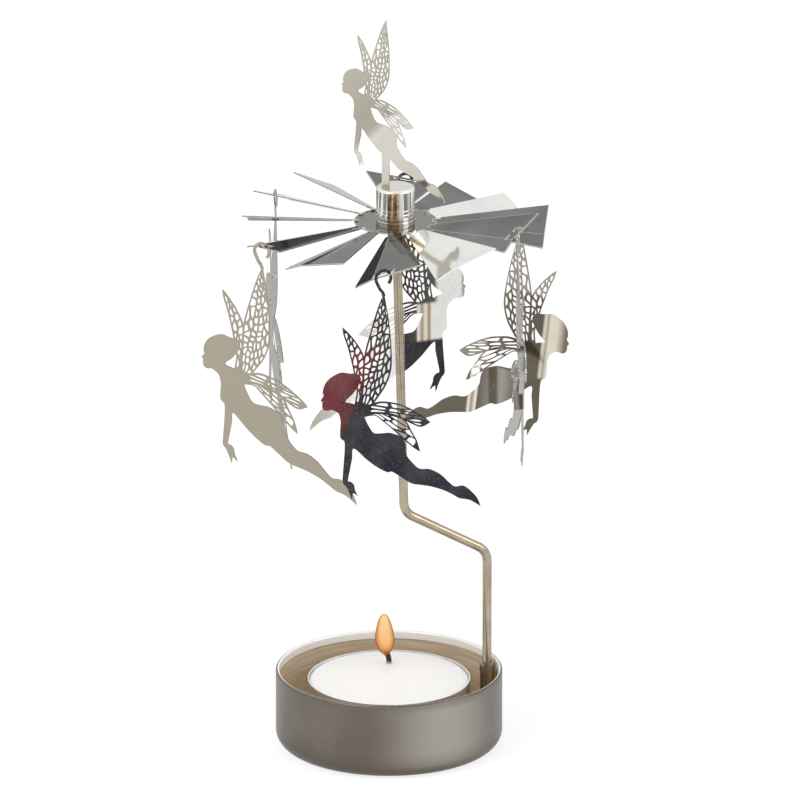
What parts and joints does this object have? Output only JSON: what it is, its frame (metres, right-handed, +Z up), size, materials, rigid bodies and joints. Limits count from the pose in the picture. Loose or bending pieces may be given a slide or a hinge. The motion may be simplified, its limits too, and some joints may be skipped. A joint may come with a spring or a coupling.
{
  "type": "rotary tealight candlestick",
  "caption": "Rotary tealight candlestick: a round metal dish, a bent wire stem and a heat-driven fan with flat winged figures hanging from its blades and one on top.",
  "frame": {"origin": "centre of the dish's underside, on the surface that the candlestick stands on", "axes": "+Z up along the dish's axis, -Y towards the viewer of the picture, +X to the viewer's right, where the stem's leg stands"},
  "size_m": [0.0854, 0.0809, 0.1776],
  "materials": {
    "dish_metal": "satin",
    "bright_metal": "bright",
    "wire_metal": "bright",
    "cap_metal": "polished",
    "sheet_metal": "polished",
    "cup_foil": "bright",
    "wax": "soft",
    "wick": "charred",
    "tab_steel": "bright"
  },
  "bodies": {
    "base": {"base_dish": "dish_metal", "stem_socket": "bright_metal"},
    "tealight": {"tealight_cup": "cup_foil", "wax": "wax", "wick": "wick", "wick_sustainer": "tab_steel"},
    "stem": {"stem_rod": "wire_metal"},
    "rotor": {"hub_cap": "cap_metal", "pivot_seat": "tab_steel", "fan_rotor": "sheet_metal", "fan_collar": "cap_metal", "top_figure": "sheet_metal"},
    "hanging_a": {"figure_a": "sheet_metal"},
    "hanging_b": {"figure_b": "sheet_metal"},
    "hanging_c": {"figure_c": "sheet_metal"},
    "hanging_d": {"figure_d": "sheet_metal"},
    "hanging_e": {"figure_e": "sheet_metal"},
    "hanging_f": {"figure_f": "sheet_metal"}
  },
  "joints": [
    {"name": "tealight_lift", "type": "slide", "parent": "base", "child": "tealight", "axis": [0, 0, 1], "range_m": [0, 0.025]},
    {"name": "stem_lift", "type": "slide", "parent": "base", "child": "stem", "axis": [0, 0, 1], "range_m": [0, 0.02]},
    {"name": "rotor_spin", "type": "hinge", "parent": "stem", "child": "rotor", "pos_m": [0.0015, 0, 0.1348], "axis": [0, 0, 1], "continuous": true},
    {"name": "figure_a_swing", "type": "hinge", "parent": "rotor", "child": "hanging_a", "pos_m": [-0.02935, -0.01597, 0.12632], "axis": [-0.4147, -0.91, 0], "range_deg": [-12, 8]},
    {"name": "figure_b_swing", "type": "hinge", "parent": "rotor", "child": "hanging_b", "pos_m": [-0.00126, -0.03459, 0.12601], "axis": [0.3584, -0.9336, 0], "range_deg": [-12, 8]},
    {"name": "figure_c_swing", "type": "hinge", "parent": "rotor", "child": "hanging_c", "pos_m": [0.03102, 0.01767, 0.12331], "axis": [0.3987, 0.9171, 0], "range_deg": [-12, 3]},
    {"name": "figure_d_swing", "type": "hinge", "parent": "rotor", "child": "hanging_d", "pos_m": [0.0037, 0.03467, 0.12664], "axis": [-0.3746, 0.9272, 0], "range_deg": [-12, 8]},
    {"name": "figure_e_swing", "type": "hinge", "parent": "rotor", "child": "hanging_e", "pos_m": [0.02975, -0.01985, 0.13086], "axis": [0.9925, 0.1219, 0], "range_deg": [-12, 8]},
    {"name": "figure_f_swing", "type": "hinge", "parent": "rotor", "child": "hanging_f", "pos_m": [-0.02643, 0.0207, 0.12701], "axis": [-0.9877, -0.1564, 0], "range_deg": [-12, 8]}
  ]
}
